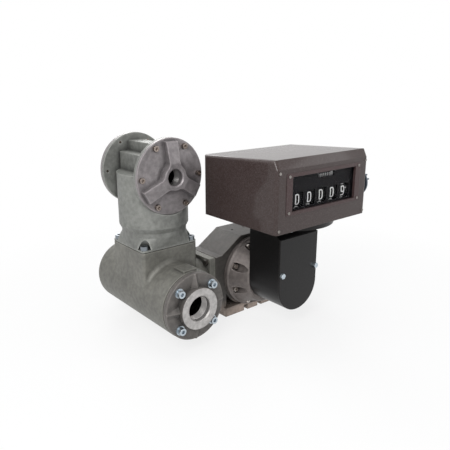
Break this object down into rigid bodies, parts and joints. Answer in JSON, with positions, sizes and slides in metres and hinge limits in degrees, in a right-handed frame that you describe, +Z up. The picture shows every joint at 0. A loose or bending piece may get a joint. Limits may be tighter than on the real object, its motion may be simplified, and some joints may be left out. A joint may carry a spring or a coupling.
{
  "type": "positive displacement flow meter",
  "caption": "Rotary positive displacement flow meter with inlet strainer, air eliminator and mechanical register with reset knob.",
  "frame": {"origin": "centre of the meter body's foot face, which stands on the floor", "axes": "+Z up; -Y towards the register window and the inlet port; liquid runs from the strainer at -X to the outlet at +X"},
  "size_m": [0.4371, 0.3782, 0.3793],
  "materials": {
    "meter_casting": "satin cast, slightly rough",
    "cover_casting": "satin cast, slightly rough",
    "strainer_casting": "satin cast, slightly rough",
    "machined_flange": "machined face",
    "zinc_screw": "zinc plated",
    "stainless_screw": "stainless",
    "gasket": "matt",
    "steel_part": "machined",
    "float_plastic": "moulded",
    "rotor_metal": "machined",
    "gear_steel": "machined",
    "brass_part": "machined",
    "black_casting": "satin black paint",
    "register_paint": "semi gloss enamel",
    "bezel_paint": "semi gloss enamel",
    "window": "clear",
    "dial_black": "matt black",
    "number_wheel": "matt black with white numerals",
    "knob_grey": "moulded, dark slate"
  },
  "bodies": {
    "casing": {"meter_body": "meter_casting", "outlet_flange": "meter_casting", "front_cover": "cover_casting", "rear_cover": "cover_casting", "strainer_housing": "strainer_casting", "eliminator_housing": "strainer_casting", "front_vent_cover": "strainer_casting", "rear_vent_cover": "strainer_casting", "inlet_flange": "machined_flange", "drain_plug": "machined_flange", "inlet_flange_screws": "zinc_screw", "eliminator_bolts": "zinc_screw", "drive_plate_screws": "zinc_screw", "adapter_bolts": "zinc_screw", "register_screws": "zinc_screw", "flange_bolts": "zinc_screw", "vent_cover_screws": "stainless_screw", "front_cover_screws": "stainless_screw", "rear_cover_bolts": "stainless_screw", "strainer_seals": "gasket", "meter_seals": "gasket", "strainer_basket": "steel_part", "float_bracket": "steel_part", "front_bearing_plate": "steel_part", "rear_bearing_plate": "steel_part", "register_frame": "steel_part", "packing_gland": "brass_part", "drive_housing": "black_casting", "drive_plate": "black_casting", "adapter_plate": "black_casting", "register_case": "register_paint", "register_base": "register_paint", "front_bezel": "bezel_paint", "window_glass": "window", "dial_plate": "dial_black"},
    "float": {"float_arm": "steel_part", "float_ball": "float_plastic"},
    "blocking": {"blocking_rotor": "rotor_metal", "blocking_gear": "gear_steel", "drive_pinion": "gear_steel"},
    "left": {"left_rotor": "rotor_metal", "left_gear": "gear_steel"},
    "right": {"right_rotor": "rotor_metal", "right_gear": "gear_steel"},
    "output": {"output_shaft": "steel_part", "output_gear": "gear_steel", "lower_bevel_gear": "gear_steel"},
    "vertical": {"vertical_shaft": "steel_part", "upper_bevel_gear": "gear_steel"},
    "ones": {"ones_wheel": "number_wheel"},
    "tens": {"tens_wheel": "number_wheel"},
    "hundreds": {"hundreds_wheel": "number_wheel"},
    "thousands": {"thousands_wheel": "number_wheel"},
    "ten_thousands": {"ten_thousands_wheel": "number_wheel"},
    "totalizer": {"totalizer_wheels": "number_wheel"},
    "reset": {"wheel_shaft": "steel_part", "reset_knob": "knob_grey"}
  },
  "joints": [
    {"name": "float_hinge", "type": "hinge", "parent": "casing", "child": "float", "pos_m": [-0.2058, -0.018, 0.296], "axis": [1, 0, 0], "range_deg": [0, 25]},
    {"name": "blocking_spin", "type": "hinge", "parent": "casing", "child": "blocking", "pos_m": [0, 0, 0.066], "axis": [0, 1, 0], "continuous": true},
    {"name": "left_spin", "type": "hinge", "parent": "casing", "child": "left", "pos_m": [-0.0285, 0, 0.09262], "axis": [0, 1, 0], "continuous": true},
    {"name": "right_spin", "type": "hinge", "parent": "casing", "child": "right", "pos_m": [0.0285, 0, 0.09262], "axis": [0, 1, 0], "continuous": true},
    {"name": "output_spin", "type": "hinge", "parent": "casing", "child": "output", "pos_m": [0, -0.141, 0.094], "axis": [0, 1, 0], "continuous": true},
    {"name": "vertical_spin", "type": "hinge", "parent": "casing", "child": "vertical", "pos_m": [0, -0.141, 0.094], "axis": [0, 0, 1], "continuous": true},
    {"name": "ones_spin", "type": "hinge", "parent": "casing", "child": "ones", "pos_m": [0.0612, -0.1828, 0.279], "axis": [1, 0, 0], "continuous": true},
    {"name": "tens_spin", "type": "hinge", "parent": "casing", "child": "tens", "pos_m": [0.0306, -0.1828, 0.279], "axis": [1, 0, 0], "continuous": true},
    {"name": "hundreds_spin", "type": "hinge", "parent": "casing", "child": "hundreds", "pos_m": [0, -0.1828, 0.279], "axis": [1, 0, 0], "continuous": true},
    {"name": "thousands_spin", "type": "hinge", "parent": "casing", "child": "thousands", "pos_m": [-0.0306, -0.1828, 0.279], "axis": [1, 0, 0], "continuous": true},
    {"name": "ten_thousands_spin", "type": "hinge", "parent": "casing", "child": "ten_thousands", "pos_m": [-0.0612, -0.1828, 0.279], "axis": [1, 0, 0], "continuous": true},
    {"name": "totalizer_spin", "type": "hinge", "parent": "casing", "child": "totalizer", "pos_m": [0.01, -0.2088, 0.3145], "axis": [1, 0, 0], "continuous": true},
    {"name": "reset_spin", "type": "hinge", "parent": "casing", "child": "reset", "pos_m": [0.144, -0.1828, 0.279], "axis": [1, 0, 0], "continuous": true}
  ],
  "couplings": [
    {"joint": "left_spin", "follows": "blocking_spin", "ratio": -1},
    {"joint": "right_spin", "follows": "blocking_spin", "ratio": -1},
    {"joint": "output_spin", "follows": "blocking_spin", "ratio": -0.53846},
    {"joint": "vertical_spin", "follows": "blocking_spin", "ratio": 0.53846},
    {"joint": "ones_spin", "follows": "blocking_spin", "ratio": 0.005291},
    {"joint": "tens_spin", "follows": "blocking_spin", "ratio": 0.0005291},
    {"joint": "hundreds_spin", "follows": "blocking_spin", "ratio": 0.00005291},
    {"joint": "thousands_spin", "follows": "blocking_spin", "ratio": 0.000005291},
    {"joint": "ten_thousands_spin", "follows": "blocking_spin", "ratio": 0.0000005291},
    {"joint": "totalizer_spin", "follows": "blocking_spin", "ratio": 0.005291}
  ]
}
